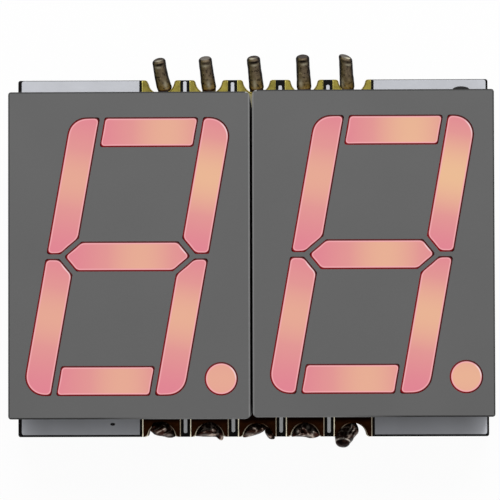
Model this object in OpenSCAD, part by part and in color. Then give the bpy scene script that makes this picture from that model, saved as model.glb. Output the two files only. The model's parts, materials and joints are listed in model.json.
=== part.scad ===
// Two-digit seven-segment LED display.
// Two moulded light-shaft housings sit side by side on one circuit board with plated half-holes.
// Millimetres. Origin: middle of the board's back. +X along the digits, +Y to their top, +Z out of the face.

/* [Housings] */
// Width of one digit housing
housing_w = 12.43; // [12:0.01:14]
// Height of one digit housing, along the digit
housing_l = 16.84; // [16:0.02:19]
// Depth of a housing from its face to the board
housing_depth = 6.3; // [4.5:0.1:9]
// Slit between the two housings
housing_gap = 0.14; // [0.05:0.01:0.6]
// How much higher the right housing sits than the left one
housing_step = 0.08; // [0:0.01:0.15]
// Radius of a housing's outer corners seen from the front
housing_corner = 0.15; // [0.1:0.01:0.8]
// Radius of a housing's corners at the slit
slit_corner = 0.26; // [0.1:0.01:0.8]
// Bevel round the edge of a housing's face
face_bevel = 0.08; // [0.02:0.01:0.3]
// Radius of the pegs that locate a housing in the board
peg_r = 0.5; // [0.3:0.05:0.8]
// Clearance round a peg in its board hole
peg_clear = 0.05; // [0.02:0.01:0.15]
// How far a peg stops short of the board's back
peg_recess = 0.1; // [0.05:0.05:0.4]
// Radius of the moulding gate's mark on the right housing
gate_r = 0.42; // [0.2:0.02:0.6]
// How far the gate's mark stands out of the wall
gate_rise = 0.13; // [0.05:0.01:0.2]
// From the housing's middle to the gate's mark
gate_x = 4.55; // [-4.6:0.05:4.6]

/* [Digits] */
// Height of a digit
digit_h = 14.33; // [12:0.01:15]
// Width of a digit before it is slanted
digit_w = 8.38; // [7.4:0.02:8.8]
// Width of a segment's stroke
stroke = 1.54; // [1.2:0.01:1.8]
// Wall left between neighbouring segments
segment_gap = 0.23; // [0.2:0.01:0.5]
// Forward slant of the digits in degrees
slant = 10; // [0:0.1:12]
// Radius at a digit's four outer corners
outer_round = 1.0; // [0.4:0.05:1.2]
// Radius at the other corners of a segment
segment_round = 0.13; // [0.05:0.01:0.25]
// How far a digit's middle lies below its housing's middle
digit_drop = 0.06; // [0:0.01:0.4]
// How far a digit's middle lies left of its housing's middle
digit_left = 0.08; // [0:0.01:0.2]
// Diameter of the decimal point
point_d = 1.72; // [1.2:0.02:2]
// From the decimal point's centre to the housing's right side
point_inset = 1.48; // [1.2:0.02:1.9]
// From the digit's foot up to the decimal point's centre
point_rise = 0.87; // [0.5:0.01:1.2]

/* [Light shafts] */
// Thickness of the diffusers in the face
diffuser_t = 1.0; // [0.4:0.05:2]
// Clearance round a diffuser in its pocket
diffuser_clear = 0.05; // [0.01:0.01:0.08]
// Width of the ledge that carries a diffuser
ledge = 0.15; // [0.1:0.01:0.25]
// Size of a light shaft at the board, as a share of its size under the diffuser
shaft_taper = 0.5; // [0.45:0.05:0.8]
// Radius of the decimal point's shaft at the board
point_shaft_r = 0.6; // [0.55:0.01:0.65]

/* [Light-emitting dice] */
// Side of a square die
die_side = 0.28; // [0.2:0.01:0.36]
// Height of a die
die_t = 0.25; // [0.15:0.01:0.4]
// Width of the gold pads under a die and its bond wire
pad_w = 0.4; // [0.3:0.02:0.44]
// Length of the pad that carries a die
die_pad_l = 0.5; // [0.4:0.02:0.56]
// Length of the pad that takes a bond wire
bond_pad_l = 0.3; // [0.2:0.02:0.36]
// Gap between a die's two pads
pad_gap = 0.1; // [0.06:0.01:0.16]
// Diameter of a bond wire
bond_wire_d = 0.05; // [0.03:0.01:0.08]

/* [Circuit board] */
// Thickness of the laminate
board_t = 1.6; // [1.2:0.1:2.4]
// Bare strip of board past a housing, along each row of half-holes
edge_strip = 1.07; // [1:0.01:2.5]
// Thickness of the lacquer on the board's two faces
lacquer_t = 0.05; // [0.05:0.01:0.1]
// Thickness of the copper lands and pads
copper_t = 0.04; // [0.02:0.01:0.05]
// Bare rim of laminate at the board's two ends
rim_x = 0.15; // [0.05:0.01:0.4]
// Bare rim of laminate along the board's two rows
rim_y = 0.07; // [0.06:0.01:0.3]
// How far the lacquer was printed off the board's middle, towards the top row
print_up = 0.04; // [0:0.01:0.05]
// How far the lacquer was printed off the board's middle, towards the right
print_right = 0.04; // [0:0.01:0.05]
// Radius of the corners of the board and its lacquer
board_corner = 0.12; // [0.05:0.01:0.3]

/* [Half-holes] */
// Pitch of the half-holes along a row
pitch = 2.54; // [2.3:0.01:3]
// How far the rows were placed off the board's middle
row_shift = 0.2; // [0:0.02:0.4]
// Radius of a plated half-hole
hole_r = 0.72; // [0.6:0.01:0.85]
// Thickness of the plating in a half-hole
plating = 0.05; // [0.03:0.01:0.08]
// Rounding of a half-hole's mouth
mouth_round = 0.15; // [0.05:0.01:0.2]
// Gap between neighbouring lands
land_gap = 0.48; // [0.42:0.01:0.6]
// How far a land runs under the housing
land_under = 0.4; // [0.1:0.05:0.8]
// Bare laminate between a land and the lacquer
lacquer_clear = 0.13; // [0.05:0.01:0.18]

/* [Wire pins] */
// Diameter of the tinned wire
wire_d = 0.7; // [0.5:0.01:0.72]
// Angle by which the wires stand up from the board's plane
wire_tilt = 30; // [20:1:45]
// From the half-hole's deepest point to the wire's root
root_gap = 0.38; // [0.36:0.01:0.5]
// Depth of the wire's root below the board's front
root_depth = 0.45; // [0.35:0.01:0.6]
// Rounding of a wire's cut end
tip_round = 0.14; // [0.04:0.01:0.15]
// Radius of the solder drop that holds a wire of the top row
drop_r = 0.37; // [0.34:0.01:0.42]
// How far that drop's middle lies past the wire's root, towards the half-hole's wall
drop_in = 0.12; // [0.06:0.01:0.2]
// How far that drop's middle lies below the wire's root
drop_low = 0.12; // [0:0.01:0.2]
// How far the solder of the bottom row reaches past the root gap
fillet = 0.2; // [0.1:0.01:0.26]
// How far that solder stands out past the board's edge
solder_lip = 0.05; // [0.02:0.01:0.2]
// Thickness of the solder coat on the wire of the bottom row that stands out
coat_t = 0.17; // [0.1:0.01:0.24]
// Length of bare wire past the solder coat
coat_short = 0.12; // [0.11:0.01:0.2]

/* [Hidden] */
$fn = 48;
overrun = 0.1;
arc_steps = 4;
outer_steps = 10;
least_round = 0.03;
pins_per_row = 5;

// How far each finger of lacquer between two lands ends short of the board's edge.
top_finger = [0.06, 0.12, 0.3, 0.28];
bottom_finger = [0.2, 0.24, 0.22, 0.2];

// Each wire's bend along the row in degrees, its place across its half-hole as a share of the play
// there, the reach of its tip past the board's edge and the slope of its cut end in degrees.
top_lean = [-11, -7, -6, -3, -3.5];
top_seat = [0.6, 0, 0, 0, -0.85];
top_reach = [1.06, 1.14, 1.16, 1.21, 1.43];
top_cut = [0, 0, 0, 0, 21];
bottom_lean = [22, 3, -14, 8, -34];
bottom_seat = [-0.3, 0, 0.2, 0, -0.2];
bottom_reach = [-0.14, -0.12, -0.16, -0.18, 0.42];

SEGMENTS = ["a", "b", "c", "d", "e", "f", "g"];
// How far each segment's die was set off the segment's middle, along the segment.
die_shift = [0.9, 0.45, 0.55, 0.85, 0.55, 0.35, 0.65];

row_numbers = [1 : pins_per_row];

board_w = 2 * housing_w + housing_gap;
board_h = housing_l + 2 * edge_strip;
back_z = lacquer_t;
front_z = back_z + board_t;
seat_z = front_z + lacquer_t;
face_z = seat_z + housing_depth;
ledge_z = face_z - diffuser_t;
shaft_h = ledge_z - seat_z;
pad_z = front_z + copper_t;
digit_pitch = housing_w + housing_gap;

half_w = digit_w / 2;
half_h = digit_h / 2;
mid_x = half_w - stroke / 2;
mid_y = (half_h + segment_gap / 2) / 2;
point_at = [housing_w / 2 - point_inset + digit_left, point_rise - half_h];
peg_y = (half_h - stroke / 2) / 2;

land_w = pitch - land_gap;
land_l = edge_strip + land_under;
clear_l = land_l + lacquer_clear;
finger_w = land_gap - 2 * lacquer_clear;
root_in = hole_r - root_gap;
wire_r = wire_d / 2;
seat_play = max(sqrt(hole_r * hole_r - root_in * root_in) - wire_r, 0);
bond_reach = (die_pad_l + bond_pad_l) / 2 + pad_gap;

// Leans a digit's points forward.
function lean(p) = [p[0] + p[1] * tan(slant), p[1]];
function flip(points, sx, sy) = [for (p = points) [p[0] * sx, p[1] * sy]];
function unit(v) = v / norm(v);

// The arc that rounds corner p between its neighbours a and b.
function corner_arc(a, p, b, r, steps) =
  let (
    u = unit(a - p),
    v = unit(b - p),
    half = acos(u * v) / 2,
    centre = p + unit(u + v) * r / sin(half),
    start = p + u * r / tan(half) - centre,
    end = p + v * r / tan(half) - centre,
    from = atan2(start[1], start[0]),
    turn = sign(cross(start, end)) * (180 - 2 * half)
  )
  [for (k = [0 : steps]) centre + r * [cos(from + turn * k / steps), sin(from + turn * k / steps)]];

// An outline with every corner rounded by its own radius.
function rounded(points, radii) =
  let (n = len(points))
  [for (i = [0 : n - 1])
    each corner_arc(
      points[(i + n - 1) % n], points[i], points[(i + 1) % n], radii[i],
      radii[i] > segment_round ? outer_steps : arc_steps
    )];

// Sharp outlines inset by e, before the slant: an upper left upright, the middle bar and the top bar.
function mitre(e) = (segment_gap / 2 + e) * sqrt(2);
function upright(e) =
  let (
    left = -half_w + e,
    right = stroke - half_w - e,
    top = half_h - e,
    bottom = segment_gap / 2 + e
  )
  [
    [left, bottom],
    [bottom - mid_x - mitre(e), bottom],
    [right, right + mid_x + mitre(e)],
    [right, top],
    [left, top]
  ];
function middle_bar(e) =
  let (
    tip = mid_x - mitre(e),
    top = stroke / 2 - e
  )
  [[-tip, 0], [top - tip, top], [tip - top, top], [tip, 0], [tip - top, -top], [top - tip, -top]];
function top_bar(e) =
  let (
    end = half_w - stroke - segment_gap - e,
    top = half_h - e,
    bottom = half_h - stroke + e
  )
  [[-end, bottom], [end, bottom], [end, top], [-end, top]];

function sharp(s, e) =
  s == "a" ? top_bar(e)
  : s == "b" ? flip(upright(e), -1, 1)
  : s == "c" ? flip(upright(e), -1, -1)
  : s == "d" ? flip(top_bar(e), 1, -1)
  : s == "e" ? flip(upright(e), 1, -1)
  : s == "f" ? upright(e)
  : middle_bar(e);
function is_upright(s) = len(search(s, "bcef")) > 0;
function corner_radii(s, e) =
  let (small = max(segment_round - e, least_round))
  is_upright(s) ? [small, small, small, small, max(outer_round - e, least_round)]
  : [for (p = sharp(s, e)) small];
function outline(s, e) = rounded([for (p = sharp(s, e)) lean(p)], corner_radii(s, e));

function middle_of(s) =
  s == "a" ? [0, half_h - stroke / 2]
  : s == "b" ? [mid_x, mid_y]
  : s == "c" ? [mid_x, -mid_y]
  : s == "d" ? [0, stroke / 2 - half_h]
  : s == "e" ? [-mid_x, -mid_y]
  : s == "f" ? [-mid_x, mid_y]
  : [0, 0];
function die_at(s) =
  let (shift = die_shift[search([s], SEGMENTS)[0]])
  lean(middle_of(s) + (is_upright(s) ? [0, shift] : [shift, 0]));
// A shaft's outline at a share k of its size under the ledge, drawn in towards its die.
function shaft_outline(s, k) = [for (p = outline(s, ledge)) die_at(s) + k * (p - die_at(s))];

// The value at place n of a row's own list.
function of_row(row, n, top, bottom) = row > 0 ? top[n - 1] : bottom[n - 1];

// Places a housing: side -1 is the left one, 1 the right one.
module in_housing(side) {
  translate([side * digit_pitch / 2, side * housing_step / 2, 0])
    children();
}

// Places a digit's parts in its housing.
module in_digit(side) {
  in_housing(side)
    translate([-digit_left, -digit_drop, 0])
      children();
}

// Places a row's parts with the board's edge at y = 0: row 1 is the top row, -1 the bottom row.
module in_row(row, n) {
  translate([row_shift + (n - (pins_per_row + 1) / 2) * pitch, row * board_h / 2, 0])
    rotate([0, 0, row > 0 ? 0 : 180])
      children();
}

// A block's side profile with its two upper corners bevelled.
module bevelled_profile(width) {
  polygon([
    [-width / 2, 0],
    [width / 2, 0],
    [width / 2, housing_depth - face_bevel],
    [width / 2 - face_bevel, housing_depth],
    [face_bevel - width / 2, housing_depth],
    [-width / 2, housing_depth - face_bevel]
  ]);
}

// A rectangle about the middle with its corners rounded, each by its own radius, from the lower left one on.
module rounded_rectangle(width, height, radii) {
  polygon(rounded(
    [for (q = [[-1, -1], [1, -1], [1, 1], [-1, 1]]) [q[0] * width / 2, q[1] * height / 2]],
    radii
  ));
}

module housing_block(side) {
  left = side < 0 ? housing_corner : slit_corner;
  right = side < 0 ? slit_corner : housing_corner;
  translate([0, 0, seat_z])
    intersection() {
      linear_extrude(housing_depth)
        rounded_rectangle(housing_w, housing_l, [left, right, right, left]);
      rotate([90, 0, 0])
        linear_extrude(housing_l + overrun, center = true)
          bevelled_profile(housing_w);
      rotate([90, 0, 90])
        linear_extrude(housing_w + overrun, center = true)
          bevelled_profile(housing_l);
    }
}

// A segment's pocket for its diffuser and the shaft that narrows from there to the die.
module segment_opening(s) {
  spread = (1 - shaft_taper) * overrun / shaft_h;
  wide = 1 + spread;
  narrow = shaft_taper - spread;
  translate([0, 0, ledge_z])
    linear_extrude(diffuser_t + overrun)
      polygon(outline(s, 0));
  translate(concat(die_at(s), ledge_z + overrun))
    mirror([0, 0, 1])
      linear_extrude(shaft_h + 2 * overrun, scale = narrow / wide)
        polygon([for (p = shaft_outline(s, wide)) p - die_at(s)]);
}

module point_opening() {
  top_r = point_d / 2 - ledge;
  spread = (top_r - point_shaft_r) * overrun / shaft_h;
  translate(concat(point_at, ledge_z))
    cylinder(h = diffuser_t + overrun, d = point_d);
  translate(concat(point_at, seat_z - overrun))
    cylinder(h = shaft_h + 2 * overrun, r1 = point_shaft_r - spread, r2 = top_r + spread);
}

module at_pegs() {
  for (sy = [-1, 1])
    translate(lean([0, sy * peg_y]))
      children();
}

// The low round mark that the moulding gate left on a housing's top wall, just under the face.
module gate_mark() {
  cap_r = (gate_r * gate_r + gate_rise * gate_rise) / (2 * gate_rise);
  translate([gate_x, housing_l / 2 + gate_rise - cap_r, face_z - face_bevel - cap_r])
    sphere(cap_r);
}

module digit_housing(side) {
  color("#646464") {
    difference() {
      in_housing(side) {
        housing_block(side);
        if (side > 0)
          gate_mark();
      }
      in_digit(side) {
        for (s = SEGMENTS)
          segment_opening(s);
        point_opening();
      }
    }
    in_digit(side)
      at_pegs()
        translate([0, 0, peg_recess])
          cylinder(h = seat_z - peg_recess, r = peg_r);
  }
}

module segment_diffuser(side, s) {
  color("#e59a90")
    in_digit(side)
      translate([0, 0, ledge_z])
        linear_extrude(diffuser_t)
          polygon(outline(s, diffuser_clear));
}

module point_diffuser(side) {
  color("#e8aa8c")
    in_digit(side)
      translate(concat(point_at, ledge_z))
        cylinder(h = diffuser_t, d = point_d - 2 * diffuser_clear);
}

// Places a die's parts with the die at the origin and its bond pad along +X.
module at_dice(side) {
  in_digit(side) {
    for (s = SEGMENTS)
      translate(die_at(s))
        rotate([0, 0, is_upright(s) ? -90 - slant : 180])
          children();
    translate([point_at[0] + bond_reach / 2, point_at[1]])
      rotate([0, 0, 180])
        children();
  }
}

module die_pads(side) {
  color("#c9a24e")
    at_dice(side)
      translate([0, 0, front_z])
        for (pad = [[0, die_pad_l], [bond_reach, bond_pad_l]])
          translate([pad[0] - pad[1] / 2, -pad_w / 2, 0])
            cube([pad[1], pad_w, copper_t]);
}

module dice(side) {
  color("#7a2c22")
    at_dice(side)
      translate([-die_side / 2, -die_side / 2, pad_z])
        cube([die_side, die_side, die_t]);
}

// A bond wire arches from the top of its die and drops straight to the bond pad.
module bond_wires(side) {
  arch_r = bond_reach / 2;
  color("#d9b25c")
    at_dice(side) {
      translate([arch_r, 0, pad_z + die_t])
        rotate([90, 0, 0])
          rotate_extrude(angle = 180)
            translate([arch_r, 0])
              circle(d = bond_wire_d);
      translate([bond_reach, 0, pad_z])
        cylinder(h = die_t, d = bond_wire_d);
    }
}

// A half-hole of radius r with a rounded mouth, centred on the edge.
module notch(r) {
  mouth_x = sqrt((r + mouth_round) * (r + mouth_round) - mouth_round * mouth_round);
  circle(r);
  for (sx = [-1, 1])
    difference() {
      polygon([[0, 0], [sx * mouth_x, 0], [sx * mouth_x, -mouth_round]]);
      translate([sx * mouth_x, -mouth_round])
        circle(mouth_round);
    }
}

module peg_holes() {
  for (side = [-1, 1])
    in_digit(side)
      at_pegs()
        circle(peg_r + peg_clear);
}

module circuit_board() {
  color("#1b1917")
    translate([0, 0, back_z])
      linear_extrude(board_t)
        difference() {
          rounded_rectangle(board_w, board_h, [for (k = [1 : 4]) board_corner]);
          for (row = [-1, 1])
            for (n = row_numbers)
              in_row(row, n)
                notch(hole_r + plating);
          peg_holes();
        }
}

// A finger of lacquer that runs out between two lands to a round tip.
module finger(short) {
  tip_y = -short - finger_w / 2;
  translate([-finger_w / 2, -clear_l - overrun])
    square([finger_w, tip_y + clear_l + overrun]);
  translate([0, tip_y])
    circle(d = finger_w);
}

// The field of lacquer on one face of the board, clear of the lands, the pegs and the rim.
module lacquer_field() {
  clear_w = (pins_per_row - 1) * pitch + land_w + 2 * lacquer_clear;
  difference() {
    translate([print_right, print_up])
      rounded_rectangle(board_w - 2 * rim_x, board_h - 2 * rim_y, [for (k = [1 : 4]) board_corner]);
    for (row = [-1, 1])
      in_row(row, (pins_per_row + 1) / 2)
        translate([-clear_w / 2, -clear_l])
          square([clear_w, clear_l + overrun]);
    peg_holes();
  }
  for (row = [-1, 1])
    for (n = [1 : pins_per_row - 1])
      in_row(row, n + 1 / 2)
        finger(of_row(row, n, top_finger, bottom_finger));
}

module front_lacquer() {
  color("#c3c5c9")
    translate([0, 0, front_z])
      linear_extrude(lacquer_t)
        difference() {
          lacquer_field();
          for (side = [-1, 1])
            in_digit(side) {
              for (s = SEGMENTS)
                polygon(shaft_outline(s, shaft_taper));
              translate(point_at)
                circle(point_shaft_r);
            }
        }
}

module back_lacquer() {
  color("#20301f")
    linear_extrude(lacquer_t)
      lacquer_field();
}

// A plated land wraps from the board's front through the half-hole to its back.
module land(row, n) {
  color("#a8934a")
    in_row(row, n)
      difference() {
        union() {
          for (z = [back_z - copper_t, front_z])
            translate([-land_w / 2, -land_l, z])
              cube([land_w, land_l, copper_t]);
          translate([0, 0, back_z])
            linear_extrude(board_t)
              intersection() {
                notch(hole_r + plating);
                translate([-land_w / 2, -land_l])
                  square([land_w, land_l]);
              }
        }
        translate([0, 0, -overrun])
          linear_extrude(seat_z + 2 * overrun)
            notch(hole_r);
      }
}

// One wire's lean and place, as seen from its row's own edge, and its length.
function wire_lean(row, n) = row * of_row(row, n, top_lean, bottom_lean);
function wire_seat(row, n) = row * of_row(row, n, top_seat, bottom_seat) * seat_play;
function wire_length(row, n) =
  (of_row(row, n, top_reach, bottom_reach) + root_in) / (cos(wire_tilt) * cos(wire_lean(row, n)));

// Aims +Z along a wire from its root in the half-hole.
module along_wire(row, n) {
  translate([wire_seat(row, n), -root_in, front_z - root_depth])
    rotate([wire_tilt - 90, 0, -wire_lean(row, n)])
      children();
}

// A straight length of round wire with its cut end rounded over, or cut on a slope.
module bare_wire(row, n) {
  length = wire_length(row, n);
  cut = row > 0 ? top_cut[n - 1] : 0;
  along_wire(row, n)
    difference() {
      rotate_extrude() {
        square([wire_r, length - tip_round]);
        square([wire_r - tip_round, length]);
        intersection() {
          translate([wire_r - tip_round, length - tip_round])
            circle(tip_round);
          square([wire_r, length]);
        }
      }
      if (cut > 0)
        translate([-wire_r, 0, length - wire_r * tan(cut)])
          rotate([0, cut, 0])
            translate([-wire_r, -wire_d, 0])
              cube([2 * wire_d, 2 * wire_d, wire_d]);
    }
}

module wire(row, n) {
  color("#6f6254")
    in_row(row, n)
      bare_wire(row, n);
}

// The board's edge with its lands, as one block for the solder to lie against.
module edge_block() {
  translate([0, 0, back_z - copper_t])
    linear_extrude(board_t + 2 * copper_t)
      difference() {
        translate([-pitch / 2, -land_l])
          square([pitch, land_l]);
        notch(hole_r);
      }
}

// In the top row a drop of solder holds a wire's root against the half-hole's wall.
module solder_drop(n) {
  translate([wire_seat(1, n), -root_in - drop_in, front_z - root_depth - drop_low])
    sphere(drop_r);
}

// In the bottom row solder fills the half-hole round a wire's root, and coats the wire where it stands out.
module solder_coat(n) {
  intersection() {
    along_wire(-1, n)
      sphere(root_gap + fillet);
    translate([-pitch / 2, -pitch, -overrun])
      cube([pitch, pitch + solder_lip, seat_z + pitch]);
  }
  if (bottom_reach[n - 1] > 0)
    along_wire(-1, n)
      cylinder(h = wire_length(-1, n) - coat_short, r = wire_r + coat_t);
}

module solder(row, n) {
  color(row > 0 ? "#7d7468" : "#4b443d")
    in_row(row, n)
      difference() {
        if (row > 0)
          solder_drop(n);
        else
          solder_coat(n);
        edge_block();
        bare_wire(row, n);
      }
}

circuit_board();
front_lacquer();
back_lacquer();
for (side = [-1, 1]) {
  prefix = side < 0 ? "left_" : "right_";
  digit_housing(side);
  for (s = SEGMENTS) {
    segment_diffuser(side, s);
  }
  point_diffuser(side);
  die_pads(side);
  dice(side);
  bond_wires(side);
}
for (row = [1, -1])
  for (n = row_numbers) {
    prefix = row > 0 ? "top_" : "bottom_";
    land(row, n);
    wire(row, n);
    solder(row, n);
  }
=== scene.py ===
"""Finish of a two-digit LED display: lit diffusers, moulded housings, plated board edge, wires and solder."""

import json
from functools import partial
from math import pi, radians

import bpy
import numpy as np
from bpy.props import FloatProperty, FloatVectorProperty, PointerProperty
from mathutils import Euler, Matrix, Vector


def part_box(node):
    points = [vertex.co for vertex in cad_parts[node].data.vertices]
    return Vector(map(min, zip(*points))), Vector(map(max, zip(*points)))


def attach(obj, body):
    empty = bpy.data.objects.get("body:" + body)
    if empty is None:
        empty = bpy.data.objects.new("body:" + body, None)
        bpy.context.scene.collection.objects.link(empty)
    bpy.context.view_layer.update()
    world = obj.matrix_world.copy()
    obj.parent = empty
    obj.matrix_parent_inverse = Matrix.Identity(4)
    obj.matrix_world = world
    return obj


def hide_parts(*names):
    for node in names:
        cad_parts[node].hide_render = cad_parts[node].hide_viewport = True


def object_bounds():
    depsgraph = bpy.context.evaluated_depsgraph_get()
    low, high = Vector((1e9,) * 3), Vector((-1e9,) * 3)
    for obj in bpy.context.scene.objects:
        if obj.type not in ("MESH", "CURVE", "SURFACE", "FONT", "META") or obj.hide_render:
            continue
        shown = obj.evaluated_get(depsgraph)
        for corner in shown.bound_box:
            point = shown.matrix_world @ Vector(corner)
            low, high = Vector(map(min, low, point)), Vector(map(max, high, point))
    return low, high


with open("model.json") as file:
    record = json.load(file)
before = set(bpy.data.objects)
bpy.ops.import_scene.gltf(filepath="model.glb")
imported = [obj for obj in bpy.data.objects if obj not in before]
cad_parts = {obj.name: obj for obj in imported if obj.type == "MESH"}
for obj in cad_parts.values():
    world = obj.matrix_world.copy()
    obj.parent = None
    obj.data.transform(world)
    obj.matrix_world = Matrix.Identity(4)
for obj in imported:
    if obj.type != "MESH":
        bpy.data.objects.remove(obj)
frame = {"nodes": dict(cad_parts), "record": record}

bl_info = {
    "name": "Two-digit LED display finish",
    "version": (1, 0, 0),
    "blender": (4, 5, 0),
    "location": "3D view > Sidebar > LED display",
    "description": "Dresses a two-digit seven-segment display and sets its studio",
    "category": "Object",
}

# Lengths are in millimetres and angles in degrees, unless a comment says otherwise.
MM = 0.001
BODY = "root"
SIDES = ("left", "right")
PINS = range(1, 6)
PITCH = 2.54
CAD_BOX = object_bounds()

# The moulding gate's mark on the right housing's top wall: its middle from the right and below the face, its
# half width and half height, how far it stands out, its root in the wall, its points round and rings, and
# the angle of its smallest ring.
GATE_LEFT, GATE_DOWN, GATE_WIDE, GATE_TALL, GATE_RISE, GATE_IN = 1.665, 0.7, 0.46, 0.58, 0.2, 0.01
GATE_TURNS, GATE_RINGS, GATE_END = 48, 14, 88.2

# How warm each piece glows over its die, in the left and in the right digit.
LIGHT_SHARES = {
    "segment_a": (0.78, 0.89),
    "segment_b": (0.92, 1.0),
    "segment_c": (0.8, 0.87),
    "segment_d": (0.74, 0.79),
    "segment_e": (0.71, 0.72),
    "segment_f": (0.71, 0.73),
    "segment_g": (0.76, 0.82),
    "decimal_point": (0.73, 0.85),
}
STROKE_SLANT = 10
# A piece whose width and height differ by less than this is round.
ROUND_WITHIN = 0.2
# Points round a diffuser, and the neighbours on each side that round its corners and soften its flanks.
OUTLINE_POINTS, CORNER_MEAN, FLANK_MEAN = 288, 3, 6
# Rings over a diffuser's shoulder, steps inwards over its top, the most of the way to its middle line that
# they take, and the length over which the top sinks.
SHOULDER_RINGS, STEP_LIMIT, DISH_RUN = 7, 0.9, 0.4
TOP_STEPS = (0.06, 0.08, 0.1, 0.12, 0.16, 0.24, 0.34, 0.45)
# Painted red light lies where a diffuser's side faces this way, and painted shade lies on the opposite side.
LEAK_WAY = (-0.62, -0.3)
# The rim value grows from this far outside a diffuser's edge, over this length.
RIM_START, RIM_RUN = 0.05, 0.25

HOLE_RADIUS, MOUTH_ROUND = 0.72, 0.15
# Painted highlight on a land's rim: how bright it is along its left and right sides and round its half-hole
# on the left and on the right, and the power by which the half-hole's rim gains that brightness towards the
# board's edge.
RIM_SHARES = {"top": (1.0, 0.6, 0.4, 0.4), "bottom": (1.0, 0.35, 0.9, 0.5)}
RIM_GAIN = {"top": 0.0, "bottom": 1.5}
# A rim's bead: points along a side and round the bead, and the share of its radius by which it is sunk.
BEAD_STEPS, BEAD_TURNS, BEAD_SUNK = 12, 12, 0.2
# The bead of a half-hole: how far round from the hole's side it starts, and its points on arc and fillet.
MOUTH_FROM, MOUTH_STEPS, FILLET_STEPS = 80, 24, 9

# Wire pins: radius, round and dish of a cut end, how deep a wire starts in its half-hole, and its rings.
WIRE_RADIUS, WIRE_ROUND, WIRE_DISH, WIRE_IN = 0.365, 0.14, 0.02, 0.15
WIRE_RINGS, WIRE_TURNS, ROUND_RINGS = 48, 64, 9
# A wire widens towards its root by a share, over a share of its length, after these first rings.
ROOT_FLARE, FLARE_RUN, FIRST_RINGS = 0.1, 0.6, (0.82, 0.93, 0.98)
# Rings inwards over a cut end, as shares of its flat part.
CAP_STEPS = (0.85, 0.7, 0.5, 0.3, 0.1, 0.03)
# Waves of the dents: how often each goes round the wire, its angle in radians for each millimetre along the
# wire, and its phase in radians for each wire's number.
DENT_WAVES = ((3, 5.1, 1.0), (2, -8.3, 2.3), (5, 13.7, 4.1))
# For each wire of the top row: its bow to the left, the slope of its cut, how bright its cut end is, how
# bright the glint on it is, and where that glint lies from left, -1, to right, 1.
WIRES = (
    (0.045, 0, 0.2, 0.8, -0.1),
    (0.01, 0, 0.7, 0.15, 0.0),
    (0.0, 0, 0.2, 0.9, -0.3),
    (0.0, 0, 0.2, 0.0, 0.0),
    (0.0, 21, 0.6, 1.3, 0.6),
)
# Where a wire's tip starts, as a share of its length, and how fast its marks fade round from the front.
TIP_FROM, FRONT_FADE = 0.8, 1.6
# The share of the round that is outside the cut end's colour, and the width of that colour's edge.
CAP_ROUND, CAP_EDGE = 0.6, 0.03
# Where the painted shade on a wire's flanks starts, and over what width it grows, as shares of its radius.
FLANK_SHADE_FROM, FLANK_SHADE_RUN = 0.64, 0.24
# Marks on a wire, each a middle and a width. Along it, in shares of its length: the shade below the cut, and
# two glints. From its axis: the dark far rim. On the cut end, in shares of the radius: the glint.
CUT_SHADE, CUT_GLINT, ROOT_GLINT = (0.925, 0.05), (0.84, 0.035), (0.24, 0.12)
FAR_RIM, CAP_GLINT_SIDE, CAP_GLINT_UP = (0.285, 0.07), (0.6, 0.4), (0.35, 0.25)
# Where the two glints lie across the wire: a start, a step for each wire's number, and a width.
CUT_GLINT_SIDE, ROOT_GLINT_SIDE = (-0.4, 0.15, 0.45), (0.55, -0.25, 0.25)
# How strong the painted shade on the flanks and the two glints are. The shade below a dull cut: its strength,
# what a bright cut takes off that, and how far to the sides the shade would reach, as a share of the radius.
FLANK_SHADE_SHARE, CUT_GLINT_SHARE, ROOT_GLINT_SHARE = 0.95, 0.7, 0.6
SHADE_SHARE, SHADE_LESS, SHADE_WIDE = 1.2, 0.7, 1.3

# In a half-hole, points beyond a radius go onto its wall: the blend there, the blend at a limit on the right,
# and the gap to the wall.
WALL_BLEND, RIGHT_BLEND, WALL_GAP = 0.12, 0.2, 0.003
# The level of the solder's wrinkles that is brightest, and how far from it the brightness fades.
CREST = (0.2, 0.4)
# How bright the solder is between its crests, and what a crest adds: lumps, stub and the stub's end.
LUMP_SHEEN, STUB_SHEEN, END_SHEEN = (0.35, 0.5), (0.3, 0.5), (0.14, 0.12)
# Root of a solder lump in its half-hole: the share of its outline and the height of each ring.
LUMP_FOOT = np.array([(0.3, 0.45), (0.6, 0.5), (0.85, 0.75), (0.97, 1.1), (1.0, 1.4), (1.0, 1.66)])
# Points round a lump, rings over it, and its smallest ring.
LUMP_POINTS, LUMP_RINGS, LUMP_TIP = 96, 22, 0.03
# The radius from which a lump's root follows the wall, the share of its width that it rises at most, and its
# gap over the land.
LUMP_WALL, LUMP_STEEP, LUMP_GAP = 0.52, 0.45, 0.01
# Powers by which a lump falls off and its ripples fade, and what tells two parts of a lump apart.
LUMP_FALL, RIPPLE_FADE, PART_SEED = 2.2, 6, 2.6
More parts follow.
